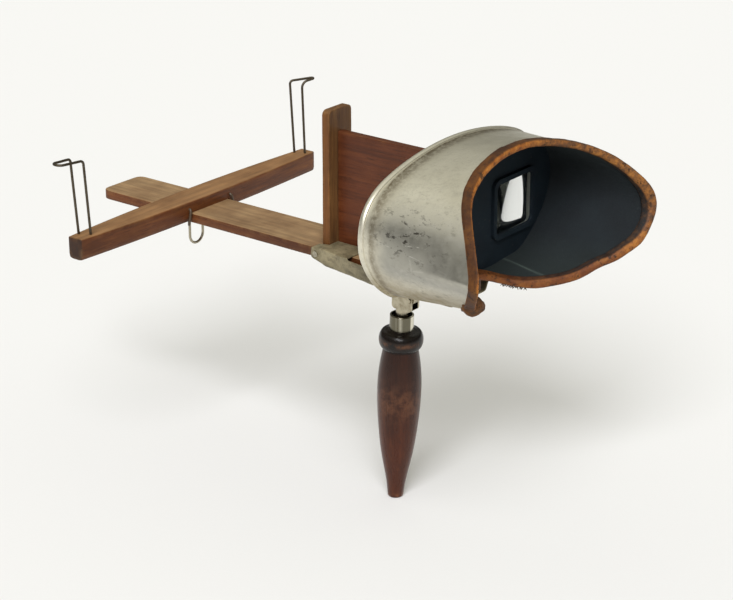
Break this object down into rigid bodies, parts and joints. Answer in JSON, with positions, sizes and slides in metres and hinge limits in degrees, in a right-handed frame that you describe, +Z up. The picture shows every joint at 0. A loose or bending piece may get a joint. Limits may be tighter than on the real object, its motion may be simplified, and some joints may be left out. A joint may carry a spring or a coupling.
{
  "type": "stereo viewer",
  "caption": "Hand-held stereoscope: aluminium hood with two lenses, wooden rail, sliding card bar with wire clips, folding turned handle.",
  "frame": {"origin": "centre of the flat lower end of the handle, with the handle unfolded", "axes": "+Y from the eyes towards the card, +X the user's right, +Z up, square to the rail's top"},
  "size_m": [0.2072, 0.3093, 0.2159],
  "materials": {
    "mahogany": "satin, worn",
    "septum_wood": "satin, reddish",
    "post_wood": "satin, worn edges",
    "handle_wood": "polished, collar blackened",
    "hood_aluminium": "dull brushed, scratched",
    "saddle_aluminium": "dull, stained",
    "dark_lining": "dark velvet",
    "tan_leather": "worn, dark at its edges",
    "black_board": "black painted wood",
    "lens_glass": "clear",
    "nickel": "dull nickel plate",
    "bright_ferrule": "bright nickel plate",
    "steel_fasteners": "plain",
    "filler_wood": "bare",
    "clip_wire": "dull, browned",
    "keeper_wire": "dull nickel"
  },
  "bodies": {
    "frame": {"rail": "mahogany", "septum": "septum_wood", "septum_post": "post_wood", "post_screws": "steel_fasteners", "saddle_plate": "saddle_aluminium", "saddle_block": "filler_wood", "saddle_nails": "steel_fasteners", "board_screws": "steel_fasteners", "hinge_bracket": "nickel", "bracket_screws": "steel_fasteners", "hinge_pin": "nickel", "lens_board": "black_board", "left_lens": "lens_glass", "right_lens": "lens_glass", "left_eye_frame": "black_board", "right_eye_frame": "black_board", "hood_shell": "hood_aluminium", "hood_lining": "dark_lining", "rim_binding": "tan_leather"},
    "handle": {"handle_yoke": "nickel", "handle_ferrule": "bright_ferrule", "handle_grip": "handle_wood"},
    "card_slide": {"card_bar": "mahogany", "left_card_clip": "clip_wire", "right_card_clip": "clip_wire", "keeper_wire": "keeper_wire"}
  },
  "joints": [
    {"name": "handle_fold", "type": "hinge", "parent": "frame", "child": "handle", "pos_m": [0, -0.01014, 0.11852], "axis": [1, 0, 0], "range_deg": [-92, 0]},
    {"name": "card_focus", "type": "slide", "parent": "frame", "child": "card_slide", "axis": [0, 1, 0], "range_m": [-0.083, 0.046]}
  ]
}
